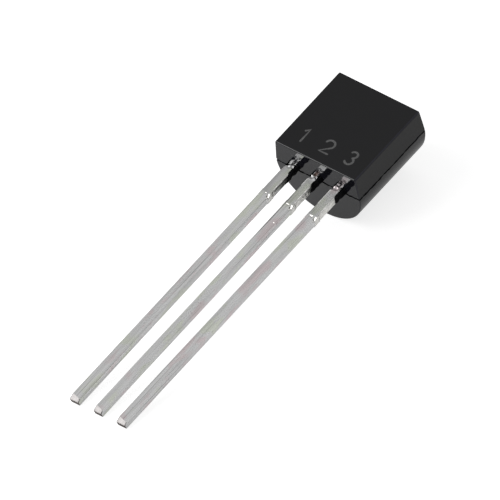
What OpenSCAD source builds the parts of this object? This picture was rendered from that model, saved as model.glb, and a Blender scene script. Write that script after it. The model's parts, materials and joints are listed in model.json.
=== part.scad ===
// Small plastic transistor with three straight leads, lying on its rounded back.
// Working axes: x runs from pin 1 to pin 3, y from the flat face to the rounded
// back, and z from the leads up to the top, with zero at the lead end.

/* [Moulding] */
// Greatest width of the moulding, at its parting line
body_width = 4.58; // [4.3:0.02:5]
// Width of the flat face
flat_width = 4.38; // [3.9:0.02:4.5]
// Height of the moulding, from lead end to top
body_height = 4.7; // [4.3:0.05:5.3]
// Depth from the flat face to the parting line
parting_depth = 1.2; // [1:0.02:1.5]
// Slope of the two end faces away from the parting line, in degrees
end_draft = 2; // [0.5:0.5:6]
// Radius of the two long edges of the flat face
flat_edge_radius = 0.08; // [0.04:0.01:0.2]
// Width of the fine groove that the mould halves leave
seam_width = 0.05; // [0.03:0.01:0.1]
// Depth of that groove
seam_depth = 0.03; // [0.01:0.01:0.08]

/* [Leads] */
// Distance from one lead to the next
pitch = 1.27; // [1.1:0.01:1.4]
// Width of leads 1 and 3
outer_lead_width = 0.48; // [0.38:0.01:0.6]
// Width of lead 2
centre_lead_width = 0.43; // [0.34:0.01:0.6]
// Thickness of the sheet that the leads are stamped from
lead_thickness = 0.38; // [0.3:0.01:0.45]
// Length of the leads below the moulding
lead_length = 15.7; // [12:0.1:20]
// How much narrower the neck is on each side
neck_inset = 0.07; // [0.02:0.01:0.12]
// Length of the neck on its left side, below the moulding
neck_left = 0.3; // [0.1:0.02:0.8]
// Length of the neck on its right side, below the moulding
neck_right = 0.6; // [0.1:0.02:0.8]
// Length of the slanted shoulder below the neck
shoulder_length = 0.06; // [0.02:0.01:0.3]
// Distance below the moulding of the trimmed tie bar
tie_bar_drop = 2.05; // [1.5:0.05:3]
// Height of the tie bar stubs along the lead
tie_bar_height = 0.42; // [0.2:0.02:0.8]
// How far each stub stands out from the lead's side
stub_stand = 0.035; // [0.01:0.005:0.1]
// Length of the slope that the cutter leaves on the front of the tip
tip_slope_length = 0.28; // [0.1:0.02:0.6]
// Depth of that slope
tip_slope_depth = 0.12; // [0.05:0.01:0.26]
// How much shorter the slanting cut leaves the lead at its back
tip_back_rise = 0.08; // [0.02:0.01:0.2]

/* [Lead frame inside] */
// Moulding left between the frame and the side of the body
side_cover = 0.42; // [0.3:0.02:0.6]
// Moulding left above the collector pad
top_cover = 0.8; // [0.4:0.05:1.2]
// Gap between the pieces of the frame
frame_gap = 0.36; // [0.2:0.02:0.5]
// Height of the base post above the lead end
base_post_rise = 0.85; // [0.5:0.05:1.1]
// Width of the base post
base_post_width = 0.9; // [0.8:0.02:1.1]
// Height of the base post itself
base_post_height = 0.75; // [0.5:0.05:0.9]
// Height of the emitter post above the lead end
emitter_post_rise = 1.9; // [1.4:0.05:2.1]
// Width of the emitter post
emitter_post_width = 0.9; // [0.8:0.02:1]
// Height of the emitter post itself
emitter_post_height = 1.4; // [1:0.05:1.6]
// Radius of the bites that lock the posts in the moulding
lock_radius = 0.13; // [0.06:0.01:0.16]
// Diameter of the locking hole in the collector pad
lock_hole = 0.5; // [0.3:0.02:0.6]

/* [Chip and wires] */
// Side of the square silicon chip
chip_size = 0.46; // [0.3:0.02:0.56]
// Thickness of the chip
chip_thickness = 0.2; // [0.12:0.01:0.28]
// Thickness of the bonding layer under the chip
bond_thickness = 0.025; // [0.015:0.005:0.05]
// How far the bonding layer shows round the chip
bond_margin = 0.04; // [0.02:0.01:0.08]
// Distance from the pad's edges to the bonding layer
chip_inset = 0.22; // [0.12:0.02:0.3]
// Diameter of the bond wires
wire_diameter = 0.032; // [0.025:0.001:0.04]
// Rise of a bond wire above the straight line between its ends
wire_rise = 0.3; // [0.2:0.02:0.4]
// Diameter of the ball that starts a bond wire on the chip
ball_diameter = 0.1; // [0.08:0.01:0.12]
// Height of the ball
ball_height = 0.05; // [0.045:0.005:0.06]

/* [Hidden] */
$fn = 96;
facets_small = 12;
facets_wire = 8;
over = 1;

// The moulding
back_radius = body_width / 2;
body_depth = parting_depth + back_radius;
front_setback = parting_depth * tan(end_draft);
back_setback = back_radius * tan(end_draft);
side_angle = atan((body_width - flat_width) / 2 / parting_depth);
edge_run = flat_edge_radius / tan(45 + side_angle / 2);

// The leads: their back faces lie in the parting plane
lead_back = parting_depth;
lead_front = lead_back - lead_thickness;
stub_top = tie_bar_height / 2 - tie_bar_drop;
stub_bottom = -tie_bar_height / 2 - tie_bar_drop;
emitter_x = -pitch;
base_x = 0;
collector_x = pitch;

// The posts and the pad
base_post_top = base_post_rise + base_post_height;
emitter_post_top = emitter_post_rise + emitter_post_height;
pad_left = emitter_x + emitter_post_width / 2 + frame_gap;
pad_right = body_width / 2 - side_cover;
pad_bottom = base_post_top + frame_gap;
pad_top = body_height - top_cover;

// The chip, its bonding layer and the ends of the wires
bond_size = chip_size + 2 * bond_margin;
chip_x = pad_left + chip_inset + bond_size / 2;
chip_z = pad_bottom + chip_inset + bond_size / 2;
chip_front = lead_back + bond_thickness;
chip_back = chip_front + chip_thickness;
wire_spot = chip_size / 4;
ball_lift = ball_height / 2;
emitter_ball = [chip_x - wire_spot, chip_back + ball_lift, chip_z + wire_spot];
emitter_stitch = [emitter_x, lead_back + ball_lift, emitter_post_top - emitter_post_height / 2];
base_ball = [chip_x + wire_spot, chip_back + ball_lift, chip_z - wire_spot];
base_stitch = [base_x, lead_back + ball_lift, base_post_top - base_post_height / 2];

// The pose at rest: the lead tips and the lower edge of the back touch the ground
tip_back = tip_back_rise - lead_length;
tilt = atan((body_depth - lead_back) / (back_setback - tip_back));
function ground_y(y, z) = y * sin(tilt) + z * cos(tilt);
function ground_z(y, z) = z * sin(tilt) - y * cos(tilt);
y_high = ground_y(body_depth, body_height - back_setback);
y_low = ground_y(lead_front + tip_slope_depth, -lead_length);
z_low = ground_z(lead_back, tip_back);

// Points taken over to the other side of x = 0, in reverse order
function flipped(points) = [for (i = [len(points) - 1 : -1 : 0]) [-points[i].x, points[i].y]];
function mirrored(points) = concat(points, flipped(points));

// Turns the upright working axes into the pose at rest
module at_rest() {
    translate([0, -(y_high + y_low) / 2, -z_low])
        rotate([tilt - 90, 0, 0])
            children();
}

// Extrudes an outline drawn in y and z along x, equally to both sides
module across(width) {
    rotate([90, 0, 90])
        linear_extrude(height = width, center = true)
            children();
}

// Extrudes an outline drawn in x and z through the thickness of the lead sheet
module stamped() {
    translate([0, lead_back, 0])
        rotate([90, 0, 0])
            linear_extrude(height = lead_thickness)
                children();
}

// Plan of the moulding: flat front, nearly straight sides and a half-round back
module body_plan() {
    edge_x = flat_width / 2;
    polygon(mirrored([
        [edge_x - edge_run, 0],
        [edge_x + edge_run * sin(side_angle), edge_run * cos(side_angle)],
        [body_width / 2, parting_depth]
    ]));
    for (side = [-1, 1])
        translate([side * (edge_x - edge_run), flat_edge_radius])
            circle(r = flat_edge_radius);
    translate([0, parting_depth])
        intersection() {
            circle(r = back_radius);
            translate([-body_width, 0])
                square([2 * body_width, body_width]);
        }
}

// Side view of the moulding: both ends slope away from the parting line
module body_profile() {
    polygon([
        [0, front_setback],
        [parting_depth, 0],
        [body_depth, back_setback],
        [body_depth, body_height - back_setback],
        [parting_depth, body_height],
        [0, body_height - front_setback]
    ]);
}

module body_form() {
    intersection() {
        linear_extrude(height = body_height)
            body_plan();
        across(body_width + 2 * over)
            body_profile();
    }
}

// The fine groove all round, where the two halves of the mould met
module parting_seam() {
    difference() {
        translate([-body_width, parting_depth - seam_width / 2, -over])
            cube([2 * body_width, seam_width, body_height + 2 * over]);
        translate([seam_depth - body_width / 2, parting_depth - seam_width, seam_depth])
            cube([body_width - 2 * seam_depth, 2 * seam_width, body_height - 2 * seam_depth]);
    }
}

// One side of a lead, from its tip up to a height inside the moulding
function lead_side(half, top, neck_length) = [
    [half, -lead_length],
    [half, stub_bottom],
    [half + stub_stand, stub_bottom],
    [half + stub_stand, stub_top],
    [half, stub_top],
    [half, -neck_length - shoulder_length],
    [half - neck_inset, -neck_length],
    [half - neck_inset, top]
];

// Outline of one lead: its neck is longer on the right than on the left
module lead_outline(width, top) {
    right_side = lead_side(width / 2, top, neck_right);
    left_side = lead_side(width / 2, top, neck_left);
    polygon(concat(right_side, flipped(left_side)));
}

// A post with a round bite on each side for the moulding to grip
module post_outline(width, bottom, height) {
    difference() {
        translate([-width / 2, bottom])
            square([width, height]);
        for (side = [-1, 1])
            translate([side * width / 2, bottom + height / 3])
                circle(r = lock_radius);
    }
}

// What the cutter takes off a tip: a slope on its front, and a slant across its end
module tip_cut() {
    across(body_width + 2 * over)
        polygon([
            [lead_front - over, -lead_length - over],
            [lead_front - over, tip_slope_length - lead_length],
            [lead_front, tip_slope_length - lead_length],
            [lead_front + tip_slope_depth, -lead_length],
            [lead_back, tip_back],
            [lead_back + over, tip_back],
            [lead_back + over, -lead_length - over]
        ]);
}

module emitter_lead_form() {
    difference() {
        stamped()
            translate([emitter_x, 0]) {
                lead_outline(outer_lead_width, emitter_post_top);
                post_outline(emitter_post_width, emitter_post_rise, emitter_post_height);
            }
        tip_cut();
    }
}

module base_lead_form() {
    difference() {
        stamped()
            translate([base_x, 0]) {
                lead_outline(centre_lead_width, base_post_top);
                post_outline(base_post_width, base_post_rise, base_post_height);
            }
        tip_cut();
    }
}

// Lead 3 carries the pad that the chip sits on
module collector_lead_form() {
    hole_x = (chip_x + bond_size / 2 + pad_right) / 2;
    hole_z = pad_top - (pad_right - hole_x);
    difference() {
        stamped() {
            translate([collector_x, 0])
                lead_outline(outer_lead_width, pad_top);
            difference() {
                translate([pad_left, pad_bottom])
                    square([pad_right - pad_left, pad_top - pad_bottom]);
                translate([hole_x, hole_z])
                    circle(d = lock_hole);
            }
        }
        tip_cut();
    }
}

module square_chip(size, front, thickness) {
    translate([chip_x - size / 2, front, chip_z - size / 2])
        cube([size, thickness, size]);
}

module bond_form() {
    square_chip(bond_size, lead_back, bond_thickness);
}

module chip_form() {
    square_chip(chip_size, chip_front, chip_thickness);
}

// A flat round foot, centred on a wire's end
module wire_foot(centre) {
    translate(centre - [0, ball_lift, 0])
        rotate([-90, 0, 0])
            cylinder(d = ball_diameter, h = ball_height, $fn = facets_small);
}

// A bond wire: one arc that bows away from the frame, with a foot at each end
module bond_wire(start, finish) {
    step = finish - start;
    chord = norm(step);
    bow_radius = (chord * chord / 4 + wire_rise * wire_rise) / (2 * wire_rise);
    half_angle = asin(chord / 2 / bow_radius);
    translate(start)
        rotate([0, atan2(-step.z, step.x), 0])
            rotate([0, 0, asin(step.y / chord)])
                translate([chord / 2, wire_rise - bow_radius, 0])
                    rotate([0, 0, 90 - half_angle])
                        rotate_extrude(angle = 2 * half_angle)
                            translate([bow_radius, 0])
                                circle(d = wire_diameter, $fn = facets_wire);
    wire_foot(start);
    wire_foot(finish);
}

module emitter_wire_form() {
    bond_wire(emitter_ball, emitter_stitch);
}

module base_wire_form() {
    bond_wire(base_ball, base_stitch);
}

// Black moulding, filled round everything that it holds
module mould_body() {
    color("#2a2a2d")
        at_rest()
            difference() {
                body_form();
                parting_seam();
                emitter_lead_form();
                base_lead_form();
                collector_lead_form();
                bond_form();
                chip_form();
                emitter_wire_form();
                base_wire_form();
            }
}

module emitter_lead() {
    color("#b4b4b2")
        at_rest()
            emitter_lead_form();
}

module base_lead() {
    color("#b4b4b2")
        at_rest()
            base_lead_form();
}

module collector_lead() {
    color("#b4b4b2")
        at_rest()
            collector_lead_form();
}

module die_bond() {
    color("#c9a24a")
        at_rest()
            bond_form();
}

module silicon_die() {
    color("#56585f")
        at_rest()
            chip_form();
}

module emitter_wire() {
    color("#e0b84c")
        at_rest()
            emitter_wire_form();
}

module base_wire() {
    color("#e0b84c")
        at_rest()
            base_wire_form();
}

mould_body();
emitter_lead();
base_lead();
collector_lead();
die_bond();
silicon_die();
emitter_wire();
base_wire();
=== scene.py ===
# %% [markdown]
# # A small plastic transistor, seen close up
# The part is a black moulding with a flat face and a round back, and three tinned leads. It lies on its
# back, with the lead tips on the table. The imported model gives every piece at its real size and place,
# and this script gives the pieces their soft edges, their finish, the light and the camera.

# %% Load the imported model
import json
from math import atan2, ceil, cos, degrees, pi, radians, sin

import bmesh
import bpy
from mathutils import Matrix, Quaternion, Vector, noise


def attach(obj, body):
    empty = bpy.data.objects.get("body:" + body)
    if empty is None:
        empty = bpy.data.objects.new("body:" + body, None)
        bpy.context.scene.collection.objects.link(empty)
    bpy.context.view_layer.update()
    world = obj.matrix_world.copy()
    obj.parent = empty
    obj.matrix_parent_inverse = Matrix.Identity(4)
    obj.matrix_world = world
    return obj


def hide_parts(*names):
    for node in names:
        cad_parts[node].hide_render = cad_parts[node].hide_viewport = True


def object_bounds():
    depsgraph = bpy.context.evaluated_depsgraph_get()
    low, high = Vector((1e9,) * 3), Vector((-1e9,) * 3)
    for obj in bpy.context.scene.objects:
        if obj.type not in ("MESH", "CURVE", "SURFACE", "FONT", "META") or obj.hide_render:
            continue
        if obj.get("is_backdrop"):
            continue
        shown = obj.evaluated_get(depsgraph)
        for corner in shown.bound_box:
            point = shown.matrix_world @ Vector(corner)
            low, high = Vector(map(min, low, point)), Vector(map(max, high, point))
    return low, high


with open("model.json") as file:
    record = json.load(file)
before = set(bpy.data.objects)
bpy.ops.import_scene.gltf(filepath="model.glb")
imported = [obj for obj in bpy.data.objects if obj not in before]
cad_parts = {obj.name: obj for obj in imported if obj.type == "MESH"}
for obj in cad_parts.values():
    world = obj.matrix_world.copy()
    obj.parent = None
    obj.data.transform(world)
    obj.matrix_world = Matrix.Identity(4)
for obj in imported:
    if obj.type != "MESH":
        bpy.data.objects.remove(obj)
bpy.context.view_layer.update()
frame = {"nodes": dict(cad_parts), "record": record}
nodes = frame["nodes"]
mounts = {mount["name"]: mount for mount in frame["record"]["mounts"]}
print("pieces:", sorted(nodes))

# %% [markdown]
# ## Sizes in millimetres, as on a drawing
# A part this small is easier to think about in millimetres, standing upright: x runs from pin 1 to pin 3,
# y from the flat face to the round back, and z upwards from the end of the moulding that the leads leave.
# The shapes are made that way, and one matrix then scales them to metres and lays them down. The record's
# mount on the flat face says where that face is and how far it leans, so the matrix comes from the model.

# %% Sizes and the matrix that lays the part down
MM = 0.001
body_width = 4.58
flat_width = 4.38
body_height = 4.7
parting_depth = 1.2
end_draft = radians(2)
pitch = 1.27
lead_length = 15.7
lead_thickness = 0.38
back_radius = body_width / 2
lead_front = parting_depth - lead_thickness

flat_face = mounts["flat_front"]
lean = atan2(-flat_face["axis"][1], flat_face["axis"][2])
lay_down = (
    Matrix.Translation(Vector(flat_face["pos_m"]))
    @ Matrix.Rotation(lean - pi / 2, 4, "X")
    @ Matrix.Translation((0, 0, -body_height / 2 * MM))
    @ Matrix.Scale(MM, 4)
)
stand_up = lay_down.inverted()
print("the part leans by", round(degrees(lean), 2), "degrees")

# %% [markdown]
# ## The camera
# The edges of the moulding stay parallel in the picture, so it was taken from far away with a long lens.
# A perspective camera a metre away would nearly do, but an orthographic one keeps lines exactly parallel
# and has one number, its width, for the size of the picture. It looks down on the part from the end with
# the lead tips and from the side of pin 3.

# %% Camera
view_azimuth = radians(39.88)
view_elevation = radians(42.18)
view_roll = radians(-2.92)
view_target = Vector((-1.293, 2.108, -0.120)) * MM
view_width = 21.5 * MM
view_distance = 100 * MM
clip_near = 1 * MM
clip_far = 1000 * MM


def direction_from(azimuth, elevation):
    level = cos(elevation)
    return Vector((sin(azimuth) * level, -cos(azimuth) * level, sin(elevation)))


towards_camera = direction_from(view_azimuth, view_elevation)
camera_data = bpy.data.cameras.new("camera")
camera_data.type = "ORTHO"
camera_data.ortho_scale = view_width
camera_data.clip_start = clip_near
camera_data.clip_end = clip_far
camera = bpy.data.objects.new("camera", camera_data)
bpy.context.collection.objects.link(camera)
camera.location = view_target + towards_camera * view_distance
camera.rotation_mode = "QUATERNION"
level_view = (-towards_camera).to_track_quat("-Z", "Y")
camera.rotation_quaternion = level_view @ Quaternion((0, 0, 1), view_roll)
bpy.context.scene.camera = camera
print("camera at", [round(value / MM, 1) for value in camera.location], "mm")

# %% [markdown]
# ## A helper that turns a finished bmesh into a piece
# Every new piece is finished in the same way: the upright millimetre mesh is laid down with one matrix,
# its normals are made to point outwards, and it is shaded smooth with sharp edges where two faces meet
# at a steep angle. A Weighted Normal modifier then keeps the large faces looking flat, because it lets
# them decide the shading of the narrow rounded edges beside them. Faces with a crisp finish keep all
# their edges sharp.

# %% Finish a piece
sharp_angle = radians(28)


def finish_piece(bm, name, materials, replaced, crisp=()):
    bmesh.ops.recalc_face_normals(bm, faces=bm.faces)
    bmesh.ops.transform(bm, matrix=lay_down, verts=bm.verts)
    mesh = bpy.data.meshes.new(name)
    bm.to_mesh(mesh)
    bm.free()
    mesh.shade_smooth()
    mesh.set_sharp_from_angle(angle=sharp_angle)
    for face in mesh.polygons:
        if face.material_index in crisp:
            for corner in face.loop_indices:
                mesh.edges[mesh.loops[corner].edge_index].use_edge_sharp = True
    for material in materials:
        mesh.materials.append(material)
    piece = bpy.data.objects.new(name, mesh)
    bpy.context.collection.objects.link(piece)
    weighted = piece.modifiers.new("weighted", "WEIGHTED_NORMAL")
    weighted.keep_sharp = True
    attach(piece, "root")
    if replaced:
        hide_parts(replaced)
    print(name, "has", len(mesh.polygons), "faces")


# %% [markdown]
# ## Cutting and rounding, in a few short helpers
# bisect_plane cuts a line across a mesh, or cuts off what lies beyond a plane. bevel rounds edges, and a
# profile of 0.5 makes the rounding circular. A crease is an edge whose two faces meet at a clear angle,
# which is how the edges that need rounding are found. The words mostly and partly say how far a direction
# follows an axis: its share along that axis is above the number.

# %% Mesh helpers
weld = 0.0001
crease = radians(30)
flat_angle = radians(1)
mostly = 0.9
partly = 0.3


def cut(bm, point, normal, faces=None, remove_beyond=False):
    faces = bm.faces[:] if faces is None else faces
    edges = {edge for face in faces for edge in face.edges}
    verts = {vert for face in faces for vert in face.verts}
    bmesh.ops.bisect_plane(
        bm,
        geom=list(verts) + list(edges) + list(faces),
        dist=weld,
        plane_co=point,
        plane_no=normal,
        clear_outer=remove_beyond,
    )


def round_edges(bm, edges, radius, segments):
    bmesh.ops.bevel(
        bm,
        geom=edges,
        offset=radius,
        offset_type="OFFSET",
        affect="EDGES",
        segments=segments,
        profile=0.5,
        material=-1,
    )


def is_crease(edge):
    return len(edge.link_faces) == 2 and edge.calc_face_angle() > crease


# %% [markdown]
# ## Helpers for materials
# A procedural material is a small graph of nodes. These helpers make a node, link it and return its
# output in one call. The patterns read Object coordinates that a Mapping node has stood upright and
# scaled to millimetres with the same matrix as the shapes, so a mask can say "higher than 1 mm below the
# moulding", and a noise scale of 10 means a grain of about a tenth of a millimetre. A Mix node has a set
# of sockets for every kind of value, and the four numbers name the ones for colours.

# %% Material helpers
mix_factor, mix_first, mix_second, mix_result = 0, 6, 7, 2


def new_material(name):
    material = bpy.data.materials.new(name)
    material.use_nodes = True
    graph = material.node_tree
    graph.nodes.clear()
    output = graph.nodes.new("ShaderNodeOutputMaterial")
    shader = graph.nodes.new("ShaderNodeBsdfPrincipled")
    graph.links.new(shader.outputs["BSDF"], output.inputs["Surface"])
    return material, graph, shader


def feed(graph, socket, value):
    if isinstance(value, bpy.types.NodeSocket):
        graph.links.new(value, socket)
    else:
        socket.default_value = value


def upright(graph, stretch=(1, 1, 1)):
    where = graph.nodes.new("ShaderNodeTexCoord")
    turn = graph.nodes.new("ShaderNodeMapping")
    turn.inputs["Location"].default_value = stand_up.translation
    turn.inputs["Rotation"].default_value = stand_up.to_euler()
    turn.inputs["Scale"].default_value = (1 / MM, 1 / MM, 1 / MM)
    graph.links.new(where.outputs["Object"], turn.inputs["Vector"])
    squeeze = graph.nodes.new("ShaderNodeMapping")
    squeeze.inputs["Scale"].default_value = stretch
    graph.links.new(turn.outputs["Vector"], squeeze.inputs["Vector"])
    return squeeze.outputs["Vector"]


def grain(graph, vector, scale, detail=3.0, roughness=0.5):
    texture = graph.nodes.new("ShaderNodeTexNoise")
    texture.inputs["Scale"].default_value = scale
    texture.inputs["Detail"].default_value = detail
    texture.inputs["Roughness"].default_value = roughness
    graph.links.new(vector, texture.inputs["Vector"])
    return texture.outputs["Fac"]


def calculate(graph, operation, first, second=0.0):
    node = graph.nodes.new("ShaderNodeMath")
    node.operation = operation
    feed(graph, node.inputs[0], first)
    feed(graph, node.inputs[1], second)
    return node.outputs[0]


def fade(graph, value, start, end, low=0.0, high=1.0):
    node = graph.nodes.new("ShaderNodeMapRange")
    feed(graph, node.inputs["Value"], value)
    node.inputs["From Min"].default_value = start
    node.inputs["From Max"].default_value = end
    node.inputs["To Min"].default_value = low
    node.inputs["To Max"].default_value = high
    return node.outputs["Result"]


def mix_colour(graph, factor, first, second, blend="MIX"):
    node = graph.nodes.new("ShaderNodeMix")
    node.data_type = "RGBA"
    node.blend_type = blend
    feed(graph, node.inputs[mix_factor], factor)
    feed(graph, node.inputs[mix_first], first)
    feed(graph, node.inputs[mix_second], second)
    return node.outputs[mix_result]


def grey(level):
    return (level, level, level, 1)


def bump(graph, shader, height, depth):
    node = graph.nodes.new("ShaderNodeBump")
    node.inputs["Distance"].default_value = depth * MM
    graph.links.new(height, node.inputs["Height"])
    graph.links.new(node.outputs["Normal"], shader.inputs["Normal"])


# %% [markdown]
# ## The black epoxy
# The moulding is epoxy filled with fine glass and coloured with carbon. The mould's own surface decides
# its gloss: the flat face and the round back came from a spark-eroded cavity and are finely matt, and the
# two end faces are smoother, so the leads mirror themselves there. Carbon black reflects almost nothing
# by itself, so the greys that the eye sees on it are reflections, and gloss and texture matter more than
# colour. One function therefore makes every black of the moulding, with a fine bump for the texture and a
# faint change of tone, and the seam and the rims differ from the faces only in its numbers. The paler rim
# finish is a painted highlight, and the dark rim finish is painted shade.

# %% Epoxy materials
epoxy_ior = 1.4
fine_grain = 28
cloud_grain = 1.3
dark_share = 0.8
light_share = 1.1
blue_share = 1.9
gloss_spread = 0.2


def epoxy(name, tone, gloss, depth, shine=0.5):
    material, graph, shader = new_material(name)
    shader.inputs["Specular IOR Level"].default_value = shine
    shader.inputs["IOR"].default_value = epoxy_ior
    fine = grain(graph, upright(graph), fine_grain, detail=4, roughness=0.6)
    clouds = grain(graph, upright(graph), cloud_grain)
    darker = grey(dark_share * tone)
    lighter = (light_share * tone, light_share * tone, blue_share * tone, 1)
    glossy, dull = (1 - gloss_spread) * gloss, (1 + gloss_spread) * gloss
    feed(graph, shader.inputs["Base Color"], mix_colour(graph, clouds, darker, lighter))
    feed(graph, shader.inputs["Roughness"], fade(graph, fine, 0, 1, glossy, dull))
    bump(graph, shader, fine, depth)
    return material


epoxy_matt = epoxy("epoxy_matt", tone=0.002, gloss=0.40, depth=0.0025)
epoxy_smooth = epoxy("epoxy_smooth", tone=0.006, gloss=0.06, depth=0.0002)
epoxy_back = epoxy("epoxy_back", tone=0.006, gloss=0.26, depth=0.002)
# The seam finish reflects less than the faces, as painted shade in the groove and on the resin shells.
scar_and_shade = epoxy("scar_and_shade", tone=0.002, gloss=0.7, depth=0.01, shine=0.12)
# The pale rim finish is a paler epoxy painted as a highlight. The dark rim finish reflects less, as painted
# shade.
highlight_rim = epoxy("highlight_rim", tone=0.022, gloss=0.45, depth=0.002)
shaded_rim = epoxy("shaded_rim", tone=0.002, gloss=0.5, depth=0.002, shine=0.1)

# %% [markdown]
# ## The moulding
# The real moulding is cast in two halves that meet in the plane of the lead frame. A copy of the packed
# mesh would do, but an outline that is extruded upwards and then trimmed by sloping planes gives long clean
# faces that bevel well. Half of the outline is three points and a quarter turn made with spin, mirror
# gives the other half, and bisect_plane cuts the extruded block along the four slopes of its ends.

# %% Outline and block
back_steps = 28


def upright_block():
    bm = bmesh.new()
    middle = bm.verts.new((0, 0, 0))
    corner = bm.verts.new((flat_width / 2, 0, 0))
    widest = bm.verts.new((back_radius, parting_depth, 0))
    bm.edges.new((middle, corner))
    bm.edges.new((corner, widest))
    bmesh.ops.spin(
        bm,
        geom=[widest],
        cent=(0, parting_depth, 0),
        axis=(0, 0, 1),
        angle=pi / 2,
        steps=back_steps,
    )
    bmesh.ops.mirror(bm, geom=bm.verts[:] + bm.edges[:], merge_dist=weld, axis="X")
    bmesh.ops.remove_doubles(bm, verts=bm.verts, dist=weld)
    bmesh.ops.contextual_create(bm, geom=bm.edges[:])
    grown = bmesh.ops.extrude_face_region(bm, geom=bm.faces[:])
    top = [item for item in grown["geom"] if isinstance(item, bmesh.types.BMVert)]
    bmesh.ops.translate(bm, verts=top, vec=(0, 0, body_height))
    bmesh.ops.recalc_face_normals(bm, faces=bm.faces)
    return bm


body = upright_block()
for end_z, outwards in ((0, -1), (body_height, 1)):
    for towards_back in (-1, 1):
        slope = (0, towards_back * sin(end_draft), outwards * cos(end_draft))
        cut(body, (0, parting_depth, end_z), slope, remove_beyond=True)
        rim = [edge for edge in body.edges if edge.is_boundary]
        bmesh.ops.contextual_create(body, geom=rim)
bmesh.ops.dissolve_limit(body, angle_limit=flat_angle, verts=body.verts, edges=body.edges)
print("block:", len(body.faces), "faces")

# %% [markdown]
# ## Soft edges
# No moulded edge is truly sharp, and the thin light line along an edge is what tells the eye that the
# part is real. A Bevel modifier could round them all alike. Here bevel runs twice, because the two long
# edges of the flat are rounder than the rims of the ends, and the rims then run round the soft corners.

# %% Round the edges of the moulding
flat_edge_radius = 0.08
flat_edge_segments = 5
rim_radius = 0.055
rim_segments = 4


def is_upright(edge):
    step = edge.verts[1].co - edge.verts[0].co
    return abs(step.z) > mostly * step.length


long_edges = [edge for edge in body.edges if is_crease(edge) and is_upright(edge)]
round_edges(body, long_edges, flat_edge_radius, flat_edge_segments)
round_edges(body, [edge for edge in body.edges if is_crease(edge)], rim_radius, rim_segments)
print("rounded moulding:", len(body.faces), "faces")

# %% [markdown]
# ## The seam
# Where the two halves of the mould met, the epoxy crept out as a thin flash. It was broken off and left a
# fine, ragged line all round. Its darkness is partly shade in the groove and partly painted shade, from a
# finish that reflects less. A line drawn only in the material would be missing from the shape itself, so
# this one is a groove: two cuts mark out a narrow band, its long edges are subdivided and shaken a little
# with noise, and inset_region sinks the band. This noise is a fixed function of the place, so it is the
# same on every run.

# %% Sink a ragged seam
seam_width = 0.10
seam_wall = 0.012
seam_depth = 0.04
seam_step = 0.06
seam_shake = 0.06
seam_grain = 5
seam_sides_apart = 40

for side in (-1, 1):
    cut(body, (0, parting_depth + side * seam_width / 2, 0), (0, 1, 0))


def from_parting(vert):
    return vert.co.y - parting_depth


def on_seam_line(vert):
    return abs(abs(from_parting(vert)) - seam_width / 2) < weld


def runs_along_seam(edge):
    first, last = edge.verts
    same_side = from_parting(first) * from_parting(last) > 0
    return on_seam_line(first) and on_seam_line(last) and same_side


by_cuts = {}
for edge in body.edges:
    if runs_along_seam(edge) and edge.calc_length() > 2 * seam_step:
        by_cuts.setdefault(ceil(edge.calc_length() / seam_step), []).append(edge)
for cuts, edges in by_cuts.items():
    bmesh.ops.subdivide_edges(body, edges=edges, cuts=cuts, use_grid_fill=False)
for vert in body.verts:
    if on_seam_line(vert):
        shift = Vector((0, seam_sides_apart * from_parting(vert), 0))
        vert.co.y += seam_shake * noise.noise(seam_grain * vert.co + shift)
band = [
    face for face in body.faces
    if all(abs(from_parting(vert)) < seam_width / 2 + seam_shake for vert in face.verts)
]
bmesh.ops.inset_region(body, faces=band, thickness=seam_wall, depth=-seam_depth)
body.normal_update()
print("seam:", len(band), "faces sunk")

# %% [markdown]
# ## A finish for every face of the moulding
# The direction of a face tells what it is: a long face, an end or one of the soft rims. The rims could be
# picked by hand, but rules on the normal still hold when a size changes. The rim between the flat and the
# lead end is as smooth as that end. The other rims there and the long edge on pin 3's side get a paler
# epoxy as a painted highlight, and the edges on the far sides get a darker finish as painted shade.

# %% Share out the finishes
FRONT, END, BACK, SEAM, HIGHLIGHT_RIM, SHADED_RIM = range(6)
moulding_finishes = [epoxy_matt, epoxy_smooth, epoxy_back, scar_and_shade, highlight_rim, shaded_rim]
slightly = 0.2
in_seam = set(band)


def moulding_finish(face):
    sideways, backwards, upwards = face.normal
    depth = face.calc_center_bounds().y
    at_lead_end = upwards < 0
    if face in in_seam:
        return SEAM
    if abs(upwards) > mostly:
        return END
    if abs(upwards) > slightly and backwards < -partly:
        return END if at_lead_end else SHADED_RIM
    if abs(upwards) > slightly:
        return HIGHLIGHT_RIM if at_lead_end else SHADED_RIM
    if slightly < abs(sideways) < mostly and depth < parting_depth / 2:
        return HIGHLIGHT_RIM if sideways > 0 else SHADED_RIM
    return BACK if depth > parting_depth else FRONT


for face in body.faces:
    face.material_index = moulding_finish(face)
finish_piece(body, "moulding", moulding_finishes, "mould_body")

# %% [markdown]
# ## Tinned metal
# The leads are stamped from copper alloy sheet and tinned. Their wide faces are rolled smooth and carry
# long faint scratches, small pits and slow tints of yellow and pink from the oxide. An image could show
# all that, but stretched noises are as real and stay sharp at any distance. Between the necks and the tie
# bar, where the mould gripped the sheet, the tin is a little duller.

# %% The tone of tin
dull_tin = 0.70
bright_tin = 0.90
streak_range = (0.3, 0.7)
scratch_tone = 0.40
scratch_stretch = (18, 18, 0.16)
scratch_range = (0.63, 0.70)
pit_tone = 0.30
pit_range = (0.66, 0.74)
tint_stretch = (1.6, 1.6, 0.7)
yellow_oxide = (0.97, 1.0, 0.90, 1)
yellow_range = (0.36, 0.46)
pink_oxide = (1.0, 0.90, 0.91, 1)
pink_range = (0.56, 0.66)
gripped_tone = 0.8
gripped_foot = (-2.1, -1.9)
gripped_top = (-0.5, -0.35)


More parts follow.
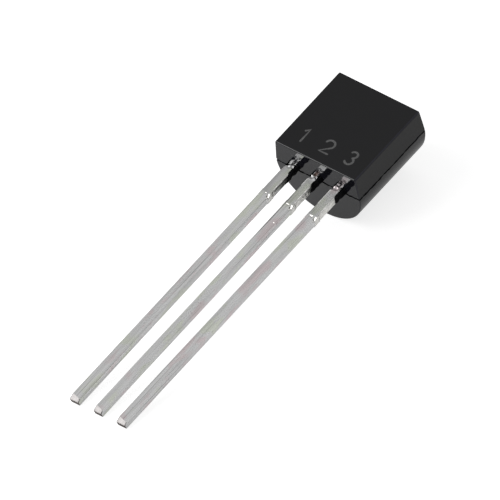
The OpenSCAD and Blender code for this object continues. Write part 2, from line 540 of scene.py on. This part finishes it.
def tin_tone(graph, z, streaks, pits, polish):
    scratches = grain(graph, upright(graph, scratch_stretch), 1.2, detail=1)
    tints = grain(graph, upright(graph, tint_stretch), 1.1, detail=2)
    dull, bright = grey(dull_tin * polish), grey(bright_tin * polish)
    tone = mix_colour(graph, fade(graph, streaks, *streak_range), dull, bright)
    tone = mix_colour(graph, fade(graph, scratches, *scratch_range), tone, grey(scratch_tone))
    tone = mix_colour(graph, fade(graph, pits, *pit_range), tone, grey(pit_tone))
    tint = mix_colour(graph, fade(graph, tints, *yellow_range), yellow_oxide, grey(1))
    tint = mix_colour(graph, fade(graph, tints, *pink_range), tint, pink_oxide)
    tone = mix_colour(graph, 1.0, tone, tint, "MULTIPLY")
    above_foot = fade(graph, z, *gripped_foot)
    below_top = fade(graph, z, *gripped_top, low=1.0, high=0.0)
    gripped = calculate(graph, "MULTIPLY", above_foot, below_top)
    return mix_colour(graph, gripped, tone, grey(gripped_tone), "MULTIPLY")


# %% [markdown]
# ## Crust and bare copper
# Near the moulding, epoxy that crept along the sheared sides has left a black crust, and the necks are
# blotched with it. Loose black pieces could be modelled, but this crust is only a film, so it is a mask
# in the material: solid above a ragged height, and in flecks below it. The same mask turns the metal
# off, because epoxy is no metal. On the neck of the middle lead one spot of the copper alloy lies bare.

# %% Tin, with the crust that the moulding leaves
crust_tone = 0.004
crust_raggedness = 0.25
crust_softness = 0.05
blotch_range = (0.3, 0.7)
fleck_stretch = (1, 1, 0.4)
fleck_softness = 0.03
fleck_zone_softness = 0.1
lead_1_side, lead_3_side = -1.5, 1.5
metal_range = (0.3, 0.7)
tin_gloss = (0.22, 0.36)
streak_stretch = (7, 7, 0.25)
copper_tone = (0.25, 0.175, 0.155, 1)
copper_x = -0.03
copper_z = -0.05
copper_raggedness = 0.06
copper_squeeze = 0.7
copper_edge = (0.05, 0.09)


def crust_mask(graph, x, z, blotches, side_crust, fleck_share, fleck_low, fleck_fade):
    shift = fade(graph, blotches, *blotch_range, low=-crust_raggedness, high=crust_raggedness)
    ragged = calculate(graph, "ADD", z, shift)
    solid = fade(graph, ragged, -side_crust - crust_softness, -side_crust + crust_softness)
    flecks = grain(graph, upright(graph, fleck_stretch), 9, detail=2)
    flecks = fade(graph, flecks, fleck_share, fleck_share + fleck_softness)
    reach = fade(graph, z, fleck_low - fleck_zone_softness, fleck_low + fleck_zone_softness)
    fewer = fade(graph, x, lead_1_side, lead_3_side, low=1.0, high=fleck_fade)
    thin = calculate(graph, "MULTIPLY", flecks, calculate(graph, "MULTIPLY", reach, fewer))
    return calculate(graph, "MAXIMUM", solid, thin)


def copper_mask(graph, x, z, blotches):
    shift = fade(graph, blotches, *blotch_range, low=-copper_raggedness, high=copper_raggedness)
    across = calculate(graph, "ABSOLUTE", calculate(graph, "SUBTRACT", x, copper_x))
    across = calculate(graph, "ADD", across, shift)
    along = calculate(graph, "ABSOLUTE", calculate(graph, "SUBTRACT", z, copper_z))
    along = calculate(graph, "MULTIPLY", along, copper_squeeze)
    away = calculate(graph, "MAXIMUM", across, along)
    return fade(graph, away, *copper_edge, low=1.0, high=0.0)


def tinned(name, polish, side_crust, fleck_share, fleck_low, fleck_fade):
    material, graph, shader = new_material(name)
    place = graph.nodes.new("ShaderNodeSeparateXYZ")
    graph.links.new(upright(graph), place.inputs[0])
    x, z = place.outputs["X"], place.outputs["Z"]
    streaks = grain(graph, upright(graph, streak_stretch), 1.5, detail=4, roughness=0.6)
    pits = grain(graph, upright(graph), 17, detail=2)
    blotches = grain(graph, upright(graph), 7, detail=3)
    crust = crust_mask(graph, x, z, blotches, side_crust, fleck_share, fleck_low, fleck_fade)
    copper = copper_mask(graph, x, z, blotches)
    crust = calculate(graph, "MULTIPLY", crust, calculate(graph, "SUBTRACT", 1.0, copper))
    tone = mix_colour(graph, copper, tin_tone(graph, z, streaks, pits, polish), copper_tone)
    feed(graph, shader.inputs["Base Color"], mix_colour(graph, crust, tone, grey(crust_tone)))
    metal = fade(graph, crust, *metal_range, low=1.0, high=0.0)
    feed(graph, shader.inputs["Metallic"], metal)
    feed(graph, shader.inputs["Roughness"], fade(graph, pits, *blotch_range, *tin_gloss))
    bump(graph, shader, streaks, 0.0025)
    return material


tin_face = tinned(
    "tin_face", polish=1.0, side_crust=-0.1, fleck_share=0.58, fleck_low=-0.32, fleck_fade=1.0
)
tin_side = tinned(
    "tin_side", polish=0.88, side_crust=0.80, fleck_share=0.50, fleck_low=-1.85, fleck_fade=0.1
)

# %% [markdown]
# ## Metal laid bare by the tools
# Where the sheet was sheared after tinning, its own metal shows: dark and rough at the cut ends, whose
# colour is also painted darker as the shade under the tips, brighter on the slopes that the tools pressed,
# and pale and torn along the sides and the burr. Lead 1's left front edge is a darker tin. All of these
# could be masks in the tin material, but a second plain function with one noise is easier to read.

# %% Bare metals
dull_share = 0.7
mark_range = (0.35, 0.65)
metal_gloss_spread = 0.3


def bare_metal(name, colour, gloss, scale, depth):
    material, graph, shader = new_material(name)
    marks = grain(graph, upright(graph), scale, detail=4)
    dull = tuple(dull_share * part for part in colour) + (1,)
    bright = tuple(colour) + (1,)
    tone = mix_colour(graph, fade(graph, marks, *mark_range), dull, bright)
    feed(graph, shader.inputs["Base Color"], tone)
    smooth, rough = (1 - metal_gloss_spread) * gloss, (1 + metal_gloss_spread) * gloss
    feed(graph, shader.inputs["Roughness"], fade(graph, marks, 0, 1, smooth, rough))
    shader.inputs["Metallic"].default_value = 1
    bump(graph, shader, marks, depth)
    return material


# The cut ends are dark bare metal, painted darker still as the shade under the tips.
cut_end_and_shade = bare_metal("cut_end_and_shade", (0.09, 0.07, 0.06), gloss=0.5, scale=14, depth=0.003)
smeared_tip = bare_metal("smeared_tip", (0.235, 0.225, 0.222), gloss=0.4, scale=7, depth=0.005)
bright_cut = bare_metal("bright_cut", (0.50, 0.49, 0.47), gloss=0.25, scale=9, depth=0.003)
# Lead 1's left front edge gets this darker tin.
dark_left_edge = bare_metal("dark_left_edge", (0.36, 0.36, 0.35), gloss=0.35, scale=3, depth=0.002)
sheared = bare_metal("sheared", (0.95, 0.94, 0.90), gloss=0.25, scale=9, depth=0.02)
burr = bare_metal("burr", (1.0, 0.99, 0.97), gloss=0.6, scale=8, depth=0.05)

# %% [markdown]
# ## The leads
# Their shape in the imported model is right, down to the necks, the stubs of the tie bar and the cut tips,
# but its edges are knife sharp and its triangles are loose. New leads could be drawn from an outline. A
# copy keeps every size of the model, so it is stood up, merged, freed of the lines inside its flat faces,
# and bevelled below the moulding, where it shows. Stamped sheet has edges a few hundredths of a
# millimetre round.

# %% Copy and soften a lead
edge_radius = 0.03
edge_segments = 2
copy_weld = 0.0005


def upright_copy(node):
    bm = bmesh.new()
    bm.from_mesh(nodes[node].data)
    bmesh.ops.transform(bm, matrix=stand_up, verts=bm.verts)
    bmesh.ops.remove_doubles(bm, verts=bm.verts, dist=copy_weld)
    bmesh.ops.dissolve_limit(bm, angle_limit=flat_angle, verts=bm.verts, edges=bm.edges)
    return bm


def below_moulding(edge):
    return sum(vert.co.z for vert in edge.verts) / 2 < weld


def faces_between(bm, low, high):
    return [face for face in bm.faces if low < face.calc_center_median().z < high]


def front_faces(bm, low, high):
    return [face for face in faces_between(bm, low, high) if face.normal.y < -mostly]


# %% [markdown]
# ## Uneven necks
# Just below the moulding each neck is dented, because the mould nips the soft sheet there. Sculpting could
# do it, but only by hand. Closely spaced cuts give the mesh something to bend, and noise moves the points
# by up to a few hundredths of a millimetre, fading out at both ends. The vector noise starts from the time
# of day unless it is given a seed, so it gets a fixed one here.

# %% Shake a neck
noise_seed = 6
noise.seed_set(noise_seed)
neck_zone = 0.42
neck_step = 0.032
neck_column_step = 0.04
neck_columns = 3
neck_rows = (0.25, 0.5, 0.75)
neck_shake = 0.055
neck_grain = 7
fade_at_top = 0.05
fade_at_foot = 0.15


def shake_neck(bm, centre_x):
    for step in range(1, ceil(neck_zone / neck_step) + 1):
        cut(bm, (0, 0, -step * neck_step), (0, 0, 1))
    for column in range(-neck_columns, neck_columns + 1):
        column_x = centre_x + column * neck_column_step
        cut(bm, (column_x, 0, 0), (1, 0, 0), faces_between(bm, -neck_zone, 0))
    for share in neck_rows:
        row_y = lead_front + share * lead_thickness
        cut(bm, (0, row_y, 0), (0, 1, 0), faces_between(bm, -neck_zone, 0))
    for vert in bm.verts:
        if -neck_zone < vert.co.z < -weld:
            at_foot = (vert.co.z + neck_zone) / fade_at_foot
            strength = min(1, -vert.co.z / fade_at_top, at_foot)
            vert.co += neck_shake * strength * noise.noise_vector(neck_grain * vert.co)


# %% [markdown]
# ## Marks of the trimming die
# The die that cut the tie bar away left a small dent in the front of each lead at that height, pushed the
# right corner of the stub back and cut the left stub shorter. Such marks could be bump, but they are deep
# enough to catch the light. Four cuts mark out a dent and inset_region presses it in. For the corner, a
# few cuts free its points, which then slope back.

# %% Dent a lead and shape its stubs
stub_z = -2.05
stub_height = 0.42
stub_kept = 0.3
dent_wall = 0.4
dent_slope = 0.65
smear_front = 0.05
smear_crack = 0.015
smear_side = 0.012


def press_dent(bm, centre_x, dent_z, dent_width, dent_height):
    low, high = dent_z - dent_height / 2, dent_z + dent_height / 2
    cut(bm, (0, 0, low), (0, 0, 1))
    cut(bm, (0, 0, high), (0, 0, 1))
    for side in (-1, 1):
        side_x = centre_x + side * dent_width / 2
        cut(bm, (side_x, 0, 0), (1, 0, 0), front_faces(bm, low, high))
    bm.normal_update()
    floor_faces = [
        face for face in front_faces(bm, low, high)
        if abs(face.calc_center_median().x - centre_x) < dent_width / 3
    ]
    wall = dent_wall * dent_height
    bmesh.ops.inset_region(bm, faces=floor_faces, thickness=wall, depth=-dent_slope * wall)


def smear_corner(bm, corner_x, high, low, inwards, slope):
    for z in (high, low, low - smear_crack):
        cut(bm, (0, 0, z), (0, 0, 1))
    inner_x = corner_x - inwards
    for x in (inner_x, inner_x + smear_side):
        cut(bm, (x, 0, 0), (1, 0, 0), faces_between(bm, low - smear_crack, high))
    for vert in bm.verts:
        on_front = vert.co.y < lead_front + smear_front
        beside = vert.co.x > inner_x + smear_side / 2
        if on_front and beside and low - weld < vert.co.z < high:
            vert.co.y += slope * (high - vert.co.z)


def flatten_stub(bm, side_x):
    for vert in bm.verts:
        if vert.co.x < side_x and abs(vert.co.z - stub_z) < stub_height:
            vert.co.x = side_x + stub_kept * (vert.co.x - side_x)


# %% [markdown]
# ## The burr and the nipped tips
# Shears leave a ragged burr along the front edges between the neck and the tie bar, and they nipped the
# corner of each tip, lower on its right side than on its left. A modelled burr this thin only makes the
# outline jagged, so it is a narrow strip of the mesh with a rough, bright finish. The tips are true shape:
# four upright cuts divide the slope, and its upper edge is drawn down more the further right it lies.

# %% Mark a burr and nip a tip
burr_width = 0.05
tip_slope_length = 0.28
tip_nip = 0.14
tip_columns = (-0.6, -0.2, 0.2, 0.6)
TIN_FACE, CUT_END_AND_SHADE, TIN_SIDE, SHEARED, SMEARED_TIP, BRIGHT_CUT, DARK_LEFT_EDGE, BURR = range(8)
lead_finishes = [tin_face, cut_end_and_shade, tin_side, sheared, smeared_tip, bright_cut, dark_left_edge, burr]


def mark_burr(bm, edge_x, inwards, high, low):
    for z in (high, low):
        cut(bm, (0, 0, z), (0, 0, 1))
    strip_x = edge_x + inwards * burr_width
    cut(bm, (strip_x, 0, 0), (1, 0, 0), front_faces(bm, low, high))
    bm.normal_update()
    for face in faces_between(bm, low, high):
        if abs(face.calc_center_median().x - edge_x) < burr_width and face.normal.y < -partly:
            face.material_index = BURR


def nip_tip(bm, centre_x, half):
    top = -lead_length + tip_slope_length
    for share in tip_columns:
        near = faces_between(bm, -lead_length - weld, top + edge_radius)
        cut(bm, (centre_x + share * half, 0, 0), (1, 0, 0), near)
    for vert in bm.verts:
        if vert.co.y < lead_front + edge_radius and abs(vert.co.z - top) < 2 * edge_radius:
            vert.co.z -= tip_nip * (vert.co.x - centre_x + half) / (2 * half)


# %% [markdown]
# ## A finish for every face of a lead
# As on the moulding, the direction and the height of a face tell what tool made it. The rules go from the
# most special finish to the most common, and a face that no rule takes is the tinned front or back.

# %% Choose the finish of a lead's face
cut_end_steepness = 0.75
tip_steepness = 0.15
tip_zone = 0.35
bright_above_stub = 0.15
bright_below_stub = 1.4
side_on = 0.8


def lead_finish(face, is_first, crust_end):
    sideways, backwards, upwards = face.normal
    height = face.calc_center_median().z
    leans_front = backwards < -partly
    near_stub = stub_z - bright_below_stub < height < stub_z + bright_above_stub
    if face.material_index == BURR:
        return BURR
    if upwards < -cut_end_steepness and height < -lead_length / 2:
        return CUT_END_AND_SHADE
    if upwards < -tip_steepness and height < -lead_length + tip_zone:
        return SMEARED_TIP
    if upwards < -partly and leans_front and near_stub:
        return BRIGHT_CUT
    if sideways > partly and stub_z < height < crust_end:
        return SHEARED
    if sideways < -partly and leans_front and is_first:
        return DARK_LEFT_EDGE
    if abs(sideways) > partly and abs(height - stub_z) < stub_height / 3:
        return SHEARED
    if abs(sideways) > side_on:
        return TIN_SIDE
    return TIN_FACE


# %% [markdown]
# ## The three leads
# The leads are alike but not equal: lead 2 is narrower, and every one has its own dents and burrs. So a
# loop makes them all, and small tables hold what differs. A dent is written as its offset from the middle
# of the lead, its place in z, its width and its height, and a burr as the side that it is on, its upper
# end and its lower end.

# %% Make the three leads
lead_places = {"emitter_lead": -pitch, "base_lead": 0, "collector_lead": pitch}
lead_halves = {"emitter_lead": 0.24, "base_lead": 0.215, "collector_lead": 0.24}
crust_ends = {"emitter_lead": stub_z + stub_height, "base_lead": -1.0, "collector_lead": -0.95}
dents = {
    "emitter_lead": [(0.02, -2.0, 0.08, 0.06)],
    "base_lead": [(-0.05, -2.03, 0.16, 0.09), (0.09, -3.2, 0.08, 0.08)],
    "collector_lead": [(-0.04, -2.04, 0.18, 0.12)],
}
burrs = {
    "emitter_lead": [(1, -0.45, -1.7)],
    "base_lead": [(-1, -0.4, -0.85), (1, -0.75, -1.8)],
    "collector_lead": [(-1, -0.4, -1.3), (1, -0.72, -1.7)],
}
smear_high = stub_z + 0.07
smear_low = stub_z - 0.12
smear_inwards = 0.085
smear_slope = 0.58

for node, centre_x in lead_places.items():
    half = lead_halves[node]
    lead = upright_copy(node)
    soft = [edge for edge in lead.edges if is_crease(edge) and below_moulding(edge)]
    round_edges(lead, soft, edge_radius, edge_segments)
    lead.normal_update()
    shake_neck(lead, centre_x)
    for offset, dent_z, dent_width, dent_height in dents[node]:
        press_dent(lead, centre_x + offset, dent_z, dent_width, dent_height)
    for side, high, low in burrs[node]:
        mark_burr(lead, centre_x + side * half, -side, high, low)
    smear_corner(lead, centre_x + half, smear_high, smear_low, smear_inwards, smear_slope)
    flatten_stub(lead, centre_x - half)
    nip_tip(lead, centre_x, half)
    lead.normal_update()
    for face in lead.faces:
        face.material_index = lead_finish(face, centre_x < 0, crust_ends[node])
    crisp = (SMEARED_TIP, BRIGHT_CUT)
    finish_piece(lead, node + "_soft", lead_finishes, node, crisp=crisp)

# %% [markdown]
# ## The resin beside the leads, partly painted shade
# In the mould the epoxy also filled the gaps between the leads, down to the tie bar. That web was knocked
# out afterwards, and thin black shells of it cling to the sheared sides. They also widen the dark band
# beside each lead root, where there is shade, so their black is partly real flash and partly painted shade.
# They have a ragged edge against the light, so they are pieces and not only a mask: each one is a cube, cut
# into slices with bisect_plane, tapered by moving its points and shaken with noise.

# %% Shape one resin shell, partly painted shade
shell_thickness = 0.075
shell_reach = 1.2 * shell_thickness
shell_front = lead_front + 0.03
shell_depth = lead_thickness - 0.05
shell_top = -0.002
shell_step = 0.06
shell_rows = (0.33, 0.66)
shell_taper = 0.75
shell_raggedness = 0.9
shell_whole = 0.1
shell_foot = 0.9
foot_shake = 0.12
held_zone = 0.01
ripple = 0.05
ripple_grain = 9
ragged_grain = 6


def shell_faces(bm, inner_x):
    return [face for face in bm.faces if abs(face.calc_center_median().x - inner_x) < shell_reach]


def resin_and_shade_shell(bm, inner_x, outwards, thickness, length, shift):
    grown = bmesh.ops.create_cube(bm, size=1)["verts"]
    for vert in grown:
        vert.co.x = inner_x + outwards * thickness * (vert.co.x + 0.5)
        vert.co.y = shell_front + shell_depth * (vert.co.y + 0.5)
        vert.co.z = shell_top - length * (0.5 - vert.co.z)
    faces = list({face for vert in grown for face in vert.link_faces})
    for step in range(1, ceil(length / shell_step)):
        cut(bm, (0, 0, -step * shell_step), (0, 0, 1), faces)
        faces = shell_faces(bm, inner_x)
    for share in shell_rows:
        cut(bm, (0, lead_front + share * lead_thickness, 0), (0, 1, 0), faces)
        faces = shell_faces(bm, inner_x)
    for vert in {vert for face in faces for vert in face.verts}:
        down = min(1, -vert.co.z / length)
        ragged = noise.noise(ragged_grain * vert.co + Vector((shift, 0, 0)))
        if abs(vert.co.x - inner_x) > weld:
            thinner = max(0, shell_taper * down - shell_raggedness * ragged - shell_whole)
            vert.co.x -= outwards * thickness * thinner
        if down > shell_foot:
            vert.co.z += foot_shake * ragged
        if vert.co.z < -held_zone:
            vert.co.y += ripple * down * noise.noise(ripple_grain * vert.co)


# %% Make the resin shells, partly painted shade
shell_lengths = {"emitter_lead": 0.95, "base_lead": 0.75, "collector_lead": 0.72}
shell_overlap = 0.02
noise_shift = 10

shells = bmesh.new()
for node, centre_x in lead_places.items():
    inner = lead_halves[node] - shell_overlap
    length = shell_lengths[node]
    shift = noise_shift * centre_x
    resin_and_shade_shell(shells, centre_x + inner, 1, shell_thickness, length, shift)
    resin_and_shade_shell(shells, centre_x - inner, -1, shell_thickness / 2, length / 3, shift + noise_shift / 2)
# The shells' black is partly real flash and partly painted shade beside the lead roots.
finish_piece(shells, "resin_and_shade_shells", [scar_and_shade], None)

# %% [markdown]
# ## The pin numbers
# A laser burns grey marks into the flat of such a part. Here they are plain: the number of each pin above
# its lead. A text object would bring a font with it, so each stroke is a poly line curve with a round
# section, made a mesh, laid on the flat and pressed down until it stands a few thousandths of a
# millimetre proud. The angles of the arcs are in degrees, counted from the right.

# %% Draw a number
stroke = 0.11
digit_height = 0.74
digit_width = 0.46
digit_base = 0.62
arc_steps = 14
stem_x = 0.04
flag_out = 0.5
flag_down = 0.8
upper_bow = 0.235
lower_bow = 0.265
end_reach = 0.45
end_taper = 0.35


def arc(centre, radius, start, end):
    angles = [radians(start + (end - start) * step / arc_steps) for step in range(arc_steps + 1)]
    return [
        Vector((centre[0] + radius * cos(angle), 0, centre[1] + radius * sin(angle)))
        for angle in angles
    ]


def digit_line(number):
    half = digit_width / 2
    top = digit_height
    if number == 1:
        flag = Vector((-half * flag_out, 0, top * flag_down))
        return [flag, Vector((stem_x, 0, top)), Vector((stem_x, 0, 0))]
    if number == 2:
        bow = arc((0, top - half), half, 165, -35)
        return bow + [Vector((-half, 0, 0)), Vector((half, 0, 0))]
    upper = top * upper_bow
    lower = top * lower_bow
    return arc((0, top - upper), upper, 150, -75) + arc((0, lower), lower, 75, -150)


def number_mesh(number, centre_x):
    curve = bpy.data.curves.new("number", "CURVE")
    curve.dimensions = "3D"
    curve.bevel_depth = stroke / 2
    curve.bevel_resolution = 3
    curve.use_fill_caps = True
    line = digit_line(number)
    first = line[0] - (line[1] - line[0]).normalized() * stroke * end_reach
    last = line[-1] + (line[-1] - line[-2]).normalized() * stroke * end_reach
    points = [first] + line + [last]
    spline = curve.splines.new("POLY")
    spline.points.add(len(points) - 1)
    for target, point in zip(spline.points, points):
        target.co = (*(point + Vector((centre_x, 0, digit_base))), 1)
        target.radius = 1
    spline.points[0].radius = end_taper
    spline.points[-1].radius = end_taper
    holder = bpy.data.objects.new("number", curve)
    mesh = bpy.data.meshes.new_from_object(holder)
    bpy.data.objects.remove(holder)
    return mesh


# %% Press the numbers onto the flat
marking_stand = 0.004
dark_mark = 0.06
light_mark = 0.11
dot_range = (0.35, 0.7)
dot_grain = 16
mark_roughness = 0.6


def burnt_mark():
    material, graph, shader = new_material("burnt_mark")
    dots = grain(graph, upright(graph), dot_grain, detail=3)
    tone = mix_colour(graph, fade(graph, dots, *dot_range), grey(dark_mark), grey(light_mark))
    feed(graph, shader.inputs["Base Color"], tone)
    shader.inputs["Roughness"].default_value = mark_roughness
    shader.inputs["IOR"].default_value = epoxy_ior
    bump(graph, shader, dots, 0.004)
    return material


marking = bmesh.new()
for number, centre_x in ((1, -pitch), (2, 0), (3, pitch)):
    marking.from_mesh(number_mesh(number, centre_x))
bmesh.ops.remove_doubles(marking, verts=marking.verts, dist=weld)
bmesh.ops.scale(marking, vec=(1, 2 * marking_stand / stroke, 1), verts=marking.verts)
finish_piece(marking, "pin_numbers", [burnt_mark()], None)

# %% [markdown]
# ## The pieces inside
# The chip, its bonding layer and the gold wires are sealed in the moulding and never show, but the model
# is whole without its skin, so they get their own finish as well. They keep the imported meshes, which are
# right as they are: only their material slots are filled.

# %% Finish the inner pieces
gold = bare_metal("gold", (0.95, 0.70, 0.30), gloss=0.2, scale=40, depth=0.001)
bond_metal = bare_metal("bond_metal", (0.72, 0.58, 0.34), gloss=0.45, scale=30, depth=0.003)
silicon = bare_metal("silicon", (0.16, 0.17, 0.20), gloss=0.12, scale=6, depth=0.0005)
inner_finish = {
    "emitter_wire": gold,
    "base_wire": gold,
    "die_bond": bond_metal,
    "silicon_die": silicon,
}
for node, material in inner_finish.items():
    nodes[node].data.materials.clear()
    nodes[node].data.materials.append(material)
print("inner pieces finished:", len(inner_finish))

# %% [markdown]
# ## The floor
# The photo's background is plain white. A very bright floor would throw light on the part and wash it
# out, so the floor is a grey sheet whose material adds a glow that only camera, mirror and glass rays
# see. It comes out white, lights the part no more for it, and still takes the part's shadow.

# %% Floor
floor_size = 400 * MM
floor_tone = 0.5
floor_roughness = 0.9
camera_glow = 0.76
mirror_glow = 0.36


def floor_material():
    material, graph, shader = new_material("floor")
    shader.inputs["Base Color"].default_value = grey(floor_tone)
    shader.inputs["Roughness"].default_value = floor_roughness
    shader.inputs["Specular IOR Level"].default_value = 0
    shader.inputs["Emission Color"].default_value = grey(1)
    path = graph.nodes.new("ShaderNodeLightPath")
    seen = calculate(graph, "MULTIPLY", path.outputs["Is Camera Ray"], camera_glow)
    glossy, glass = path.outputs["Is Glossy Ray"], path.outputs["Is Transmission Ray"]
    mirrored = calculate(graph, "MAXIMUM", glossy, glass)
    mirrored = calculate(graph, "MULTIPLY", mirrored, mirror_glow)
    feed(graph, shader.inputs["Emission Strength"], calculate(graph, "ADD", seen, mirrored))
    return material


floor_mesh = bpy.data.meshes.new("floor")
sheet = bmesh.new()
bmesh.ops.create_grid(sheet, x_segments=1, y_segments=1, size=floor_size)
sheet.to_mesh(floor_mesh)
sheet.free()
floor = bpy.data.objects.new("floor", floor_mesh)
floor_mesh.materials.append(floor_material())
bpy.context.collection.objects.link(floor)
floor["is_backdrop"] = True
print("floor laid")

# %% [markdown]
# ## The light
# A studio with a pale ceiling: the world is dim near the horizon and paler overhead. Its brightness
# overhead is what the leads and the flat face mirror towards the camera. Camera rays see it as white. One
# broad soft lamp stands beyond the lead tips, and shows in the glossy lead end of the moulding. More lamps
# would only add reflections that the leads don't show.

# %% World
horizon_level = 0.20
ceiling_level = 0.55
horizon_height = 0.15
ceiling_height = 0.75

world = bpy.data.worlds.new("studio")
bpy.context.scene.world = world
world.use_nodes = True
sky = world.node_tree
direction = sky.nodes.new("ShaderNodeTexCoord")
split = sky.nodes.new("ShaderNodeSeparateXYZ")
sky.links.new(direction.outputs["Generated"], split.inputs[0])
height = split.outputs["Z"]
dome = fade(sky, height, horizon_height, ceiling_height, horizon_level, ceiling_level)
camera_ray = sky.nodes.new("ShaderNodeLightPath").outputs["Is Camera Ray"]
strength = calculate(sky, "MAXIMUM", dome, camera_ray)
sky.links.new(strength, sky.nodes["Background"].inputs["Strength"])
sky.nodes["Background"].inputs["Color"].default_value = grey(1)
print("world from", horizon_level, "to", ceiling_level)


# %% The lamp
def soft_lamp(name, azimuth, elevation, distance, size, power):
    lamp = bpy.data.lights.new(name, "AREA")
    lamp.shape = "SQUARE"
    lamp.size = size * MM
    lamp.energy = power
    holder = bpy.data.objects.new(name, lamp)
    bpy.context.collection.objects.link(holder)
    away = direction_from(radians(azimuth), radians(elevation))
    holder.location = away * distance * MM
    holder.rotation_mode = "QUATERNION"
    holder.rotation_quaternion = (-away).to_track_quat("-Z", "Y")
    print(name, "brightness", round(power / (pi * (size * MM) ** 2), 1))


soft_lamp("key", azimuth=-42, elevation=38, distance=120, size=90, power=0.13)

# %% [markdown]
# ## Last lines
# The view transform is Standard, so that a colour renders as it is written.

# %% Finish
bpy.context.scene.view_settings.view_transform = "Standard"
low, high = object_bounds()
